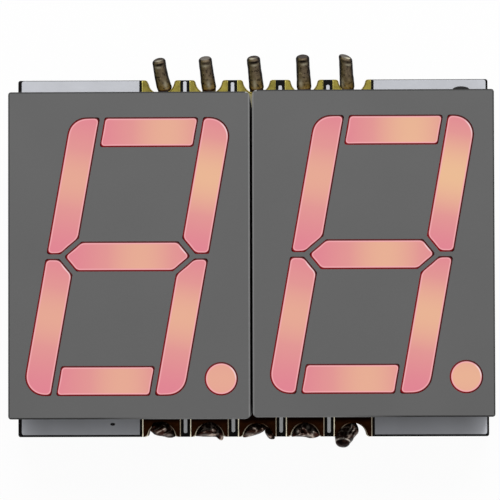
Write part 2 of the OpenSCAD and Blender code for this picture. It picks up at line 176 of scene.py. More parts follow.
# Outlines of the lumps, from the half-hole's middle on the board's edge, x to the right and y into the board.
LUMPS = {
    1: [
        [(-0.443, 0.737), (-0.54, 0.374), (-0.443, 0.175), (-0.244, 0.075), (0.088, 0.02), (0.353, -0.043),
         (0.618, -0.024), (0.652, 0.11), (0.55, 0.374), (0.42, 0.64), (0.088, 0.806)],
    ],
    2: [
        [(-0.525, 0.02), (-0.127, 0), (0.371, -0.02), (0.536, -0.164), (0.70, -0.164), (0.748, 0.066),
         (0.668, 0.366), (0.371, 0.676), (0.106, 0.78), (-0.194, 0.743), (-0.424, 0.63), (-0.626, 0.33),
         (-0.724, 0.066)],
    ],
    3: [
        [(-0.68, -0.04), (-0.324, 0.027), (0.117, 0.159), (0.382, 0.329), (0.472, 0.53), (0.249, 0.647),
         (-0.106, 0.711), (-0.414, 0.578), (-0.637, 0.355), (-0.769, 0.048)],
        [(0.398, 0.313), (0.472, 0.09), (0.647, -0.111), (0.87, -0.133), (0.928, 0), (0.737, 0.355),
         (0.515, 0.53)],
    ],
    4: [
        [(-0.477, 0), (-0.037, -0.021), (0.271, -0.09), (0.584, -0.048), (0.775, 0.085), (0.626, 0.398),
         (0.318, 0.663), (-0.037, 0.748), (-0.435, 0.573), (-0.61, 0.308), (-0.727, 0.016)],
    ],
}
# Pale patches on the lumps, bare solder painted light as highlights: middle, half width, half height and
# strength of each.
BARE_HIGHLIGHT_PATCHES = {
    1: [(0.4, 0.1, 0.16, 0.07, 0.2), (0.2, 0.4, 0.06, 0.1, 0.2)],
    2: [(-0.1, 0.1, 0.3, 0.05, 0.2), (0.0, 0.42, 0.2, 0.05, 0.2), (0.45, 0.25, 0.05, 0.12, 0.25)],
    3: [(-0.4, 0.12, 0.25, 0.07, 0.2), (-0.1, 0.45, 0.2, 0.05, 0.15)],
    4: [(-0.4, 0.3, 0.07, 0.16, 0.3), (0.15, 0.5, 0.08, 0.1, 0.35), (0.4, 0.3, 0.07, 0.16, 0.35),
        (0.25, 0.05, 0.15, 0.06, 0.3)],
}
# The stub of the bottom row: how far its coat starts before and ends after its wire, its radius, how far it
# sits to the left of its wire, the height of its domed end, and the step from its bend to its tip.
STUB_IN, STUB_OUT, STUB_RADIUS, STUB_LEFT, STUB_DOME = -0.42, -0.11, 0.515, 0.02, 0.18
STUB_STEP = (-0.03, -0.6, 0.37)
# Rings along the stub, over its end and over its round root, how far along its round that root starts, and
# the radius of the end's smallest ring.
STUB_RINGS, END_RINGS, ROOT_RINGS, ROOT_FROM, STUB_TIP = 40, 8, 8, 0.99, 0.01
# The stub narrows by a share, with a power of the way along it. Its wrinkles are a share of its radius, and
# they span so far across it, along it and from its back to its front.
STUB_TAPER, TAPER_POWER, STUB_WRINKLE, STUB_SEED = 0.26, 5, 0.03, 4.0
WRINKLE_ACROSS, WRINKLE_ALONG, WRINKLE_FRONT = 0.5, 1.2, 0.2
# The radius from which the stub's root follows the half-hole's wall, and how far to the right it does.
STUB_WALL, STUB_RIGHT = 0.42, 0.15
# Painted highlights on the stub, each a middle and a width, along it and across it: the ring behind its end,
# and a streak, with the angles of its furrows in radians across and along, and its strength.
END_RING, END_RING_SIDE, STREAK, STREAK_SIDE = (0.975, 0.02), (-0.55, 0.35), (0.5, 0.22), (-0.35, 0.35)
FURROWS, STREAK_SHARE = (17, 8), 0.85
# Where the stub's end starts, as a share of its length, how fast its marks fade round from the front, and the
# least strength of its painted highlight ring.
END_FROM, STUB_FADE, RING_LEAST = 0.98, 2, 0.75

# Camera, fitted to the corners of the face and of the board: its place, its turn, its lens and its sensor.
CAMERA_PLACE, CAMERA_TURN = (2.9055, -5.9129, 186.4024), (1.96285, 0.95659, -0.14824)
CAMERA_LENS, CAMERA_SENSOR = 250.27, 36.0
# Nearest and farthest distance that the camera sees, in metres.
CAMERA_CLIP = (0.01, 10.0)
# Softboxes: the place, the side of the square and the power in watts of each.
SOFTBOXES = {"key_softbox": ((5, 120, 165), 110, 0.36), "fill_softbox": ((80, -110, 165), 110, 0.022)}
# Strength of the room's light, half the floor's side, and how far the floor lies below the display.
ROOM_LIGHT, FLOOR_HALF, FLOOR_GAP = 0.30, 1200, 0.02
# How much of the floor's white is even. The rest of it takes the display's shadow.
PAPER_WHITE = 0.96

# The output that a node is used for, where it isn't its first.
MAIN_OUTPUT = {"Attribute": "Fac", "Mix": 2, "TexCoord": "Object", "TexWave": "Fac"}


def linear(code):
    """Linear colour with alpha from an sRGB hex code."""
    value = np.array([int(code[k : k + 2], 16) for k in (1, 3, 5)]) / 255
    value = np.where(value <= 0.04045, value / 12.92, ((value + 0.055) / 1.055) ** 2.4)
    return (*value.tolist(), 1.0)


def colour(name, code, text):
    """A colour property with its sRGB hex default."""
    return FloatVectorProperty(
        name=name, description=text, default=linear(code), size=4, min=0, max=1, subtype="COLOR"
    )


def length(name, millimetres, text):
    """A length property with its default in millimetres."""
    return FloatProperty(name=name, description=text, default=millimetres * MM, precision=6, unit="LENGTH")


class DisplaySizes(bpy.types.PropertyGroup):
    """Sizes of the finish, in metres."""

    fill: length("Diffuser fill", 0.045, "How far a cast diffuser fills the play in its pocket")
    shoulder: length("Diffuser shoulder", 0.05, "Round at the upper edge of a diffuser")
    dish: length("Diffuser dish", 0.012, "How far the cast top of a diffuser sinks in its middle")
    glow_reach: length("Glow reach", 4.3, "Distance from a die at which its warm glow has faded")
    wire_dent: length("Wire dents", 0.014, "Depth of the dents along a wire pin")
    rim_bead: length("Land rim", 0.034, "Radius of the rolled rim round a land")
    lump_rise: length("Solder rise", 0.3, "How far a lump of solder swells above the board")
    lump_ripple: length("Solder ripple", 0.05, "Height of the ripples on a lump of solder")


class DisplayColours(bpy.types.PropertyGroup):
    """Colours of the finish."""

    housing: colour("Housing", "#5e5e5e", "Moulded grey of the housings")
    # The outer bevels are darkened by painted shade, and the bevels at the slit and above the lower lands are
    # made paler by a painted highlight.
    housing_edge_shade: colour("Housing edge", "#343434", "Grime along the outer edges of the moulding")
    housing_slit_highlight: colour("Housing slit edge", "#8a8a8a", "Clean edge of the moulding at the slit")
    gate: colour("Gate mark", "#262626", "Torn plastic of the mark that the moulding gate left")
    glow_warm: colour("Glow over a die", "#e9ba93", "Light of a segment over its die")
    glow_mid: colour("Glow between", "#e09592", "Light of a segment between die and end")
    glow_far: colour("Glow at an end", "#de8291", "Light of a segment at its ends")
    glow_rim: colour("Bright rim", "#f4abb2", "Light that gathers at a diffuser's edge")
    glow_glint: colour("Corner glint", "#f8d6da", "Bright line on a diffuser's round upper right corner")
    glow_shade: colour("Edge shade", "#4c0c0c", "Edge of a diffuser on its shaded side")
    glow_leak: colour("Edge leak", "#78040c", "Red light that leaks along a diffuser's edge")
    laminate: colour("Laminate", "#0d0c0b", "Black glass-filled board")
    lacquer: colour("White lacquer", "#c6c8ce", "White print on the board")
    back_lacquer: colour("Back lacquer", "#20301f", "Dark print on the board's back")
    gold: colour("Gold land", "#8c8036", "Gold plating of the top row")
    gold_inside: colour("Gold inside", "#c8a348", "Bright gold of the pads and bond wires under the housings")
    gold_under: colour("Stained gold", "#6e6a58", "Gold plating under the housings")
    # This colour is partly flux and partly painted shade and dark reflection on the bottom lands.
    burnt: colour("Burnt flux", "#3e1f0a", "Flux burnt over the lands of the bottom row")
    # The two rim colours are painted highlights along the lands' rolled rims.
    gold_rim_highlight: colour("Bright rim of the top row", "#b6ac60", "Bare gold on a land's rolled rim")
    rim: colour("Bright rim of the bottom row", "#f3ead0", "Bare nickel on a land's rolled rim")
    tin: colour("Tinned wire", "#716350", "Dull tin of the wire pins")
    stain: colour("Wire stain", "#231a15", "Dark spots on the wire pins")
    scrape: colour("Wire scrape", "#a39370", "Scrapes on the wire pins")
    glint: colour("Wire glint", "#cfc7ac", "Glints on the wire pins")
    cut: colour("Cut end", "#77716a", "Cut end of a wire pin")
    solder: colour("Solder", "#361f18", "Old solder under flux")
    solder_light: colour("Solder glint", "#a8968a", "Crests and bare patches of the solder")
    # This bare solder colour is a painted highlight on the lumps' pale patches and on the stub's ring and
    # streak.
    solder_bare_highlight: colour("Bare solder", "#e6dace", "Patches of the solder that are free of flux")
    die: colour("Die", "#7a2c22", "Crystal of a die")


def feed(node, inputs):
    """Sets a node's inputs, by name or in their order, each to a value or from the socket that feeds it."""
    for key, value in inputs.items() if isinstance(inputs, dict) else enumerate(inputs):
        if isinstance(value, bpy.types.NodeSocket):
            node.id_data.links.new(value, node.inputs[key])
        else:
            node.inputs[key].default_value = value


def add_node(tree, kind, inputs=(), stops=(), **settings):
    """Adds a node with its settings, links and ramp stops, and returns the output that it is used for."""
    node = tree.nodes.new("ShaderNode" + kind)
    for name, value in settings.items():
        setattr(node, name, value)
    feed(node, inputs)
    if stops:
        ramp = node.color_ramp.elements
        while len(ramp) < len(stops):
            ramp.new(1.0)
        for element, (place, shade) in zip(ramp, stops):
            element.position = place
            element.color = shade
    return node.outputs[MAIN_OUTPUT.get(kind, 0)] if node.outputs else None


def new_material(name):
    """A new material, the function that adds its nodes, its shader, and Object coordinates in millimetres."""
    material = bpy.data.materials.new(name)
    material.use_nodes = True
    material.node_tree.nodes.clear()
    add = partial(add_node, material.node_tree)
    surface = add("BsdfPrincipled")
    add("OutputMaterial", [surface])
    place = add("Mapping", {"Vector": add("TexCoord"), "Scale": (1 / MM, 1 / MM, 1 / MM)})
    return material, add, surface.node, place


def shaded(shade, share):
    """A colour made darker or lighter by a share, with its alpha kept."""
    return tuple(min(1.0, c * share) for c in shade[:3]) + (1.0,)


def grey(value):
    """A grey, also as a stop for a ramp that is used as a number."""
    return (value, value, value, 1.0)


def mottle(add, place, size_mm, shade, levels, **look):
    """Patches of one colour: a noise of that size, and the colour at shares that follow the noise's level."""
    noise = add("TexNoise", {"Vector": place, "Scale": 1 / size_mm, **look})
    return noise, add("ValToRGB", [noise], [(level, shaded(shade, share)) for level, share in levels])


def seen_share(add):
    """1 on rays from the camera, off gloss or through glass, and 0 on rays that light other surfaces."""
    rays = add("LightPath").node.outputs
    seen = add("Math", [rays["Is Camera Ray"], rays["Is Glossy Ray"]], operation="MAXIMUM")
    return add("Math", [seen, rays["Is Transmission Ray"]], operation="MAXIMUM")


def moulded_polycarbonate(colours):
    """Housing plastic."""
    # Filled polycarbonate from a spark-eroded mould: an even matt grey with a fine grain, drawn coarser than
    # the real one. Painted shade darkens the outer bevels. A paler painted highlight lies on the bevels along
    # the slit and above the lower lands.
    material, add, shader, place = new_material("moulded_grey_polycarbonate")
    cloud_mm, grain_mm, bevel_mm, slit_mm, lands_mm = 5.0, 0.11, 0.085, 0.3, (4.5, 8.0)
    _, tone = mottle(add, place, cloud_mm, colours.housing, [(0.3, 0.97), (0.7, 1.03)], Detail=3.0)
    x, y, z = add("SeparateXYZ", [place]).node.outputs
    top = CAD_BOX[1][2] / MM
    level = add("MapRange", [z, top - 2 * bevel_mm, top])
    bevel = add("ValToRGB", [level], [(0.4, grey(0)), (0.52, grey(1)), (0.95, grey(1)), (0.985, grey(0))])
    aside = add("Math", [x], operation="ABSOLUTE")
    # Painted highlight near the slit and above the lower lands, painted shade on the other bevels.
    near_slit = add("Math", [aside, slit_mm], operation="LESS_THAN")
    between = add("MapRange", [aside, *lands_mm, 1.0, 0.0])
    below = add("Math", [y, 0.0], operation="LESS_THAN")
    lower = add("Math", [between, below], operation="MULTIPLY")
    clean = add("Math", [near_slit, lower], operation="MAXIMUM")
    edge = add("ValToRGB", [clean], [(0.0, colours.housing_edge_shade), (1.0, colours.housing_slit_highlight)])
    paint = add("Mix", {0: bevel, 6: tone, 7: edge}, data_type="RGBA")
    grain = add("TexNoise", {"Vector": place, "Scale": 1 / grain_mm, "Detail": 2.0})
    relief = add("Bump", {"Height": grain, "Strength": 0.12, "Distance": 0.02 * MM})
    feed(shader, {"Base Color": paint, "Normal": relief, "Roughness": 0.65, "Specular IOR Level": 0.2})
    return material


def torn_polycarbonate(colours):
    """Plastic of the gate's mark."""
    # Filled polycarbonate torn off at the gate: darker than the moulded face, with a coarse rough grain.
    material, add, shader, place = new_material("torn_grey_polycarbonate")
    tear_mm = 0.12
    tear, paint = mottle(add, place, tear_mm, colours.gate, [(0.3, 0.7), (0.7, 1.3)], Detail=3.0)
    relief = add("Bump", {"Height": tear, "Strength": 0.4, "Distance": 0.03 * MM})
    feed(shader, {"Base Color": paint, "Normal": relief, "Roughness": 0.8, "Specular IOR Level": 0.05})
    return material


def lit_epoxy(colours, reach):
    """Diffuser casting, lit from below."""
    # Milky cast epoxy with light behind it: peach over the die, pink towards the ends, a bright line where
    # light gathers at the edge, and a line of painted shade at the wall, painted red light where the light
    # leaks. A painted highlight makes the bright line palest on the round corners that face up and right.
    material, add, shader, _ = new_material("lit_cast_epoxy")
    keys = ("away", "share", "rim", "flank")
    away, share, rim, flank = (add("Attribute", attribute_name=key) for key in keys)
    distance = add("Math", [away], operation="ABSOLUTE")
    fade = add("MapRange", [distance, 0.0, reach, 1.0, 0.0], interpolation_type="SMOOTHSTEP")
    glow = add("Math", [fade, share], operation="MULTIPLY")
    warmth = [(0.0, colours.glow_far), (0.5, colours.glow_mid), (1.0, colours.glow_warm)]
    inner = add("ValToRGB", [glow], warmth)
    gather = add("ValToRGB", [rim], [(0.34, grey(0.95)), (0.49, grey(0.8)), (0.65, grey(0.0))])
    # Painted highlight on the round corners that face up and right.
    corner = add("MapRange", [flank, -0.08, -0.16])
    line = add("Mix", {0: corner, 6: colours.glow_rim, 7: colours.glow_glint}, data_type="RGBA")
    bright = add("Mix", {0: gather, 6: inner, 7: line}, data_type="RGBA")
    leak = add("Mix", {0: flank, 6: colours.glow_shade, 7: colours.glow_leak}, data_type="RGBA")
    # At the wall the colour is painted: shade on the dark side, red light on the leaking side.
    wall = add("ValToRGB", [rim], [(0.3, grey(1)), (0.34, grey(0))])
    light = add("Mix", {0: wall, 6: bright, 7: leak}, data_type="RGBA")
    feed(shader, {"Emission Color": light, "Emission Strength": 1.0, "Base Color": linear("#1a0c0c")})
    feed(shader, {"Roughness": 0.4, "Specular IOR Level": 0.08})
    return material


def black_laminate(colours):
    """Board laminate."""
    # Glass-filled black laminate: near black, with the layers of glass cloth faint along its sawn edge and
    # specks of glass, drawn coarser than the real ones.
    material, add, shader, place = new_material("black_glass_laminate")
    layer_mm, speck_mm = 0.2, 0.15
    # The wave node's bands repeat every pi / 10 of its scaled coordinate.
    bands = {"Vector": place, "Scale": pi / 10 / layer_mm, "Distortion": 0.8, "Detail Scale": 3.0}
    weave = add("TexWave", bands, bands_direction="Z")
    speck = add("TexNoise", {"Vector": place, "Scale": 1 / speck_mm, "Detail": 3.0})
    blend = add("Math", [weave, speck], operation="MULTIPLY")
    tones = [(0.1, shaded(colours.laminate, 0.6)), (0.6, shaded(colours.laminate, 1.5))]
    tone = add("ValToRGB", [blend], tones)
    feed(shader, {"Base Color": tone, "Roughness": 0.6, "Specular IOR Level": 0.06})
    return material


def printed_lacquer(name, shade, row_middle=None):
    """Lacquer print on the board, marked by flux and by painted shade and light where it lies round rows of
    lands.
    """
    # Screen-printed epoxy lacquer: satin, slightly uneven in tone, with the mesh's orange peel, drawn
    # coarser than the real one.
    material, add, shader, place = new_material(name)
    cloud_mm, peel_mm = 2.2, 0.2
    _, paint = mottle(add, place, cloud_mm, shade, [(0.3, 0.93), (0.7, 1.04)], Detail=4.0)
    peel = add("TexNoise", {"Vector": place, "Scale": 1 / peel_mm, "Detail": 2.0})
    relief = add("Bump", {"Height": peel, "Strength": 0.15, "Distance": 0.02 * MM})
    if row_middle is not None:
        paint = flux_marks_and_shade(add, place, paint, peel, shade, row_middle)
    feed(shader, {"Base Color": paint, "Normal": relief, "Roughness": 0.4, "Specular IOR Level": 0.12})
    return material


def flux_marks_and_shade(add, place, paint, peel, shade, row_middle):
    """Colour of the lacquer with the marks that soldering left on it, and painted shade and light on the
    lower strips.
    """
    # The lower strips carry painted shade beside the housings and painted light at the board's edge and at
    # both ends, with one black speck. Where the print runs between the lands its two edges are dark with flux
    # and its middle line is left pale.
    strip_shade_mm, lit_ends_mm, line_mm, soft_mm = (-9.3, -8.5), (10.7, 12.4), 0.09, 0.01
    speck_mm, speck_half_mm = np.array([-7.466, -8.815, 0.0]), np.array([0.14, 0.085, np.inf])
    x, y, _ = add("SeparateXYZ", [place]).node.outputs
    lower = add("Math", [y, 0.0], operation="LESS_THAN")
    dull = add("MapRange", [y, *strip_shade_mm, 1.16, 0.8])
    aside = add("Math", [x], operation="ABSOLUTE")
    lit_ends = add("Math", [add("MapRange", [aside, *lit_ends_mm, 0.0, 0.85]), 2.6], operation="POWER")
    level = add("Math", [dull, lit_ends], operation="ADD")
    level = add("Mix", {0: lower, 2: 1.0, 3: level}, data_type="FLOAT").node.outputs[0]
    shaded_strips = add("VectorMath", {0: paint, "Scale": level}, operation="SCALE")
    centred = {"Location": -speck_mm / speck_half_mm, "Scale": 1 / speck_half_mm}
    speck = add("Mapping", {"Vector": place, **centred})
    speck = add("VectorMath", [speck], operation="LENGTH").node.outputs["Value"]
    speck = add("MapRange", [add("Math", [speck, peel], operation="ADD"), 1.6, 1.3])
    marked = add("Mix", {0: speck, 6: shaded_strips, 7: linear("#0a0a0a")}, data_type="RGBA")
    x = add("Math", [x, -row_middle], operation="ADD")
    inside = add("Math", [add("Math", [x], operation="ABSOLUTE"), 2 * PITCH], operation="LESS_THAN")
    x = add("Math", [x, PITCH, 0.0], operation="WRAP")
    x = add("Math", [x, -PITCH / 2], operation="ADD")
    x = add("Math", [x], operation="ABSOLUTE")
    line = add("MapRange", [x, line_mm - soft_mm, line_mm + soft_mm])
    # On the lower row that pale middle line is painted lighter, as painted light.
    pale = add("Mix", {0: lower, 6: shaded(shade, 1.1), 7: shaded(shade, 1.7)}, data_type="RGBA")
    strip = add("Mix", {0: line, 6: pale, 7: linear("#121110")}, data_type="RGBA")
    return add("Mix", {0: inside, 6: marked, 7: strip}, data_type="RGBA")


def tarnished_gold(colours):
    """Plating of the top row."""
    # Thin gold over nickel and copper: warm metal, dulled by olive tarnish in patches, and grey with flux
    # where it runs in under the housings.
    material, add, shader, place = new_material("tarnished_gold_plating")
    patch_mm, under_mm = 0.45, (8.5, 8.95)
    levels = [(0.3, 0.5), (0.5, 0.85), (0.7, 1.0)]
    patch, paint = mottle(add, place, patch_mm, colours.gold, levels, Detail=4.0, Roughness=0.6)
    across = add("SeparateXYZ", [place]).node.outputs["Y"]
    under = add("MapRange", [across, *under_mm])
    stained = add("Mix", {0: under, 6: colours.gold_under, 7: paint}, data_type="RGBA")
    dull = add("MapRange", [patch, 0.0, 1.0, 0.6, 0.4])
    feed(shader, {"Base Color": stained, "Roughness": dull, "Metallic": 0.6, "Specular IOR Level": 0.2})
    return material


def bonding_gold(colours):
    """Gold of the pads and bond wires inside."""
    # Soft gold sealed from the air: bright yellow metal with a faint grain, drawn coarser than the real one.
    material, add, shader, place = new_material("bright_bonding_gold")
    grain_mm = 0.06
    grain, paint = mottle(add, place, grain_mm, colours.gold_inside, [(0.3, 0.8), (0.7, 1.0)], Detail=2.0)
    dull = add("MapRange", [grain, 0.0, 1.0, 0.2, 0.4])
    feed(shader, {"Base Color": paint, "Roughness": dull, "Metallic": 1.0})
    return material


def burnt_flux_and_shade(colours):
    """Varnish of flux over the lands of the bottom row, with painted shade."""
    # Rosin flux burnt on over gold: dark brown varnish in patches, its darkness partly painted shade and dark
    # reflection, and a black band of painted shade along the housings.
    material, add, shader, place = new_material("burnt_flux_and_shade_on_gold")
    patch_mm, land_shade_mm = 0.4, (-8.8, -8.58)
    levels = [(0.3, 0.5), (0.55, 1.0), (0.75, 1.9)]
    patch, paint = mottle(add, place, patch_mm, colours.burnt, levels, Detail=5.0, Roughness=0.65)
    across = add("SeparateXYZ", [place]).node.outputs["Y"]
    land_shade = add("MapRange", [across, *land_shade_mm])
    varnish_and_shade = add("Mix", {0: land_shade, 6: paint, 7: shaded(colours.burnt, 0.15)}, data_type="RGBA")
    relief = add("Bump", {"Height": patch, "Strength": 0.3, "Distance": 0.03 * MM})
    feed(shader, {"Base Color": varnish_and_shade, "Normal": relief, "Roughness": 0.5, "Specular IOR Level": 0.01})
    return material


def highlit_rim(name, shade, flux):
    """Rolled rim of a land, with a painted highlight along it."""
    # Metal plating on a rolled edge, gold on the top row and pale on the bottom row: a painted highlight
    # where its bright share is high, brown flux and painted shade where it is low.
    material, add, shader, place = new_material(name)
    patch_mm = 0.25
    bright = add("Attribute", attribute_name="bright")
    _, paint = mottle(add, place, patch_mm, shade, [(0.3, 0.7), (0.6, 1.0)], Detail=3.0)
    highlit = add("Mix", {0: bright, 6: flux, 7: paint}, data_type="RGBA")
    feed(shader, {"Base Color": highlit, "Metallic": 1.0, "Roughness": 0.35})
    return material


def stained_tin(colours):
    """Tinned wire of the pins."""
    # Tin on copper gone dull: brown-grey with dark pits and scrapes, painted shade on both flanks and below
    # the cut, an olive left side, golden flux towards a root darkened by painted shade and flux, painted
    # glints below the cut and at the root, and a plain cut end.
    material, add, shader, place = new_material("stained_tinned_copper")
    pit_mm = 0.17
    keys = ("along", "side", "dark", "light", "cap", "shine")
    along, side, dark, light, cap, shine = (add("Attribute", attribute_name=key) for key in keys)
    # Across the wire: painted shade, dark at both flanks and lightest in the middle.
    across = [
        (0.06, linear("#2a2214")),
        (0.2, linear("#665a3c")),
        (0.5, shaded(colours.tin, 1.25)),
        (0.72, shaded(colours.tin, 1.1)),
        (0.93, linear("#30262a")),
    ]
    # Along the wire from the root: painted shade with flux at the root, then golden flux.
    upwards = [
        (0.0, linear("#1a0604")),
        (0.07, linear("#381208")),
        (0.11, linear("#8a7036")),
        (0.24, linear("#7a6433")),
        (0.4, linear("#766645")),
    ]
    height = add("MapRange", [along, 0.1, 0.55])
    pits = add("TexNoise", {"Vector": place, "Scale": 1 / pit_mm, "Detail": 3.0, "Roughness": 0.7})
    spots = add("ValToRGB", [pits], [(0.36, grey(0.95)), (0.46, grey(0.0))])
    scuffs = add("ValToRGB", [pits], [(0.56, grey(0.0)), (0.7, grey(0.75))])
    end = add("Mix", {0: shine, 6: colours.stain, 7: colours.cut}, data_type="RGBA")
    # Each layer covers the ones before it by its share; the glint layer is a painted highlight and the dark
    # layer painted shade.
    layers = [
        (height, add("ValToRGB", [side], across)),
        (spots, colours.stain),
        (scuffs, colours.scrape),
        (cap, end),
        (light, colours.glint),
        (dark, linear("#0e0a08")),
    ]
    paint = add("ValToRGB", [along], upwards)
    for share, shade in layers:
        paint = add("Mix", {0: share, 6: paint, 7: shade}, data_type="RGBA")
    relief = add("Bump", {"Height": pits, "Strength": 0.5, "Distance": 0.03 * MM})
    feed(shader, {"Base Color": paint, "Normal": relief, "Metallic": 0.15})
    feed(shader, {"Roughness": 0.5, "Specular IOR Level": 0.05})
    return material


def clean_solder(colours):
    """Solder of the top row."""
    # Tin-lead solder without flux: dull grey-tan with a soft mottle.
    material, add, shader, place = new_material("dull_tin_lead_solder")
    patch_mm = 0.3
    _, paint = mottle(add, place, patch_mm, colours.scrape, [(0.3, 0.35), (0.7, 0.8)], Detail=4.0)
    feed(shader, {"Base Color": paint, "Roughness": 0.5, "Specular IOR Level": 0.1})
    return material


def fluxed_solder(colours):
    """Solder of the bottom row."""
    # Tin-lead solder with burnt flux on it: dark brown metal with painted highlights on its wrinkle crests,
    # and greyish patches of bare solder painted light as highlights.
    material, add, shader, place = new_material("fluxed_tin_lead_solder")
    patch_mm = 0.3
    crest, pale = (add("Attribute", attribute_name=key) for key in ("crest", "pale"))
    patch = add("TexNoise", {"Vector": place, "Scale": 1 / patch_mm, "Detail": 3.0, "Roughness": 0.55})
    broken = add("MapRange", [patch, 0.38, 0.6])
    level = add("Math", [broken, crest], operation="MULTIPLY")
    tones = [
        (0.0, linear("#0d0706")),
        (0.35, colours.solder),
        (0.6, shaded(colours.solder_light, 0.35)),
        (0.85, colours.solder_light),
    ]
    paint = add("ValToRGB", [level], tones)
    bared = add("Mix", {0: pale, 6: paint, 7: colours.solder_bare_highlight}, data_type="RGBA")
    relief = add("Bump", {"Height": patch, "Strength": 0.6, "Distance": 0.05 * MM})
    metal = add("MapRange", [crest, 0.0, 0.15, 0.0, 0.85])
    feed(shader, {"Base Color": bared, "Normal": relief, "Metallic": metal})
    feed(shader, {"Roughness": 0.28, "Specular IOR Level": 0.01})
    return material


def die_crystal(colours):
    """Crystal of the dice."""
    # Sawn crystal: deep red with a fine saw grain, drawn coarser than the real one.
    material, add, shader, place = new_material("sawn_red_crystal")
    saw_mm = 0.05
    _, paint = mottle(add, place, saw_mm, colours.die, [(0.3, 0.7), (0.7, 1.2)], Detail=2.0)
    feed(shader, {"Base Color": paint, "Roughness": 0.3})
    return material


def pale_floor():
    """Floor of the stage."""
    # White studio paper: white to the camera and in reflections, with the object's soft shadow left on it.
    # Its fibres are drawn coarser than the real ones.
    material, add, shader, place = new_material("white_studio_paper")
    fibre_mm = 0.8
    fibre = add("TexNoise", {"Vector": place, "Scale": 1 / fibre_mm, "Detail": 3.0})
    paint = add("ValToRGB", [fibre], [(0.3, grey(0.84)), (0.7, grey(0.88))])
    feed(shader, {"Base Color": paint, "Roughness": 0.9})
    paper = add("Emission", [grey(1.0), 1.0])
    share = add("Math", [seen_share(add), PAPER_WHITE], operation="MULTIPLY")
    mixed = add("MixShader", [share, shader.outputs[0], paper])
    feed(material.node_tree.get_output_node("ALL"), [mixed])
    return material


def dress(node, material):
    """Gives a CAD node a material."""
    shown = frame["nodes"][node]
    if not shown.material_slots:
        shown.data.materials.append(material)
    for slot in shown.material_slots:
        slot.material = material


def points_of(node):
    """Vertices of a CAD node in millimetres."""
    vertices = frame["nodes"][node].data.vertices
    flat = np.empty(len(vertices) * 3, np.float32)
    vertices.foreach_get("co", flat)
    return flat.reshape(-1, 3).astype(float) / MM


def box_of(node):
    """Lowest and highest corner of a CAD node in millimetres."""
    return np.array([list(corner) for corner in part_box(node)]) / MM


def ring_faces(rows, columns, first):
    """Quads between neighbouring rings of a closed surface, with a cap on its first and last ring."""
    i, j = np.meshgrid(np.arange(rows - 1), np.arange(columns), indexing="ij")
    k = (j + 1) % columns
    quads = np.stack([i * columns + j, i * columns + k, (i + 1) * columns + k, (i + 1) * columns + j], -1)
    start = first + np.arange(columns)[::-1]
    end = first + (rows - 1) * columns + np.arange(columns)
    return (quads.reshape(-1, 4) + first).tolist() + [start.tolist(), end.tolist()]


def new_piece(name, surfaces, material, attributes=None, replaces=None):
    """Builds a piece from closed surfaces, each an array of rings of points in millimetres."""
    counts = [0, *np.cumsum([s.shape[0] * s.shape[1] for s in surfaces]).tolist()]
    faces = sum((ring_faces(*s.shape[:2], first) for s, first in zip(surfaces, counts)), [])
    vertices = np.concatenate([s.reshape(-1, 3) for s in surfaces]) * MM
    mesh = bpy.data.meshes.new(name)
    mesh.from_pydata(vertices.tolist(), [], faces)
    mesh.polygons.foreach_set("use_smooth", np.ones(len(faces), bool))
    for key, values in (attributes or {}).items():
        layer = mesh.attributes.new(key, "FLOAT", "POINT")
        layer.data.foreach_set("value", np.concatenate([np.ravel(v) for v in values]).astype(np.float32))
    mesh.materials.append(material)
    mesh.update()
    piece = bpy.data.objects.new(name, mesh)
    bpy.context.scene.collection.objects.link(piece)
    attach(piece, BODY)
    if replaces:
        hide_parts(*replaces)


def unit(vectors):
    """Vectors at length one."""
    return vectors / np.linalg.norm(vectors, axis=-1, keepdims=True)


def bump(value, middle, width):
    """Bell curve round a middle: e to the minus square of the distance over the width."""
    return np.exp(-(((value - middle) / width) ** 2))


def beside_mean(values, count):
    """Mean of each value of a closed loop and its neighbours, so many on each side."""
    return np.mean([np.roll(values, k, 0) for k in range(-count, count + 1)], axis=0)


def turn_of(count):
    """Evenly spaced angles once round, in radians."""
    return np.arange(count) / count * 2 * pi


def tube(path, radius, turns, tangent):
    """P(t, a) = C(t) + r(t, a) (cos a U(t) + sin a S(t)), with S level and U the path's upward normal."""
    level = unit(np.cross(tangent, [0.0, 0.0, 1.0]))
    upward = np.cross(level, tangent)
    angle = turn_of(turns)
    spoke = np.cos(angle)[:, None] * upward[:, None] + np.sin(angle)[:, None] * level[:, None]
    return path[:, None] + radius[..., None] * spoke


class DISPLAY_OT_housings(bpy.types.Operator):
    """Finishes the two moulded housings and the mark of the moulding gate"""

    bl_idname = "led_display.housings"
    bl_label = "Housings"

    def execute(self, context):
        colours = context.scene.display_colours
        plastic = moulded_polycarbonate(colours)
        for side in SIDES:
            dress(f"{side}_housing", plastic)
        self.tear_gate(torn_polycarbonate(colours))
        return {"FINISHED"}

    def tear_gate(self, torn):
        """P(u, v) = C + (wide cos u cos v, rise sin v, -tall sin u cos v): half an ellipsoid on the top wall.

        The housings are set off along y, so the right one's top wall is as far out as the left one's lower.
        """
        right, _, face = np.array(CAD_BOX[1]) / MM
        wall = -box_of("left_housing")[0, 1]
        middle = np.array([right - GATE_LEFT, wall - GATE_IN, face - GATE_DOWN])
        u, v = np.meshgrid(turn_of(GATE_TURNS), np.linspace(0, radians(GATE_END), GATE_RINGS))
        across, out, down = np.cos(u) * np.cos(v), np.sin(v), np.sin(u) * np.cos(v)
        dome = np.stack([GATE_WIDE * across, GATE_RISE * out, -GATE_TALL * down], -1)
        new_piece("right_housing_gate_mark", [middle + dome], torn)


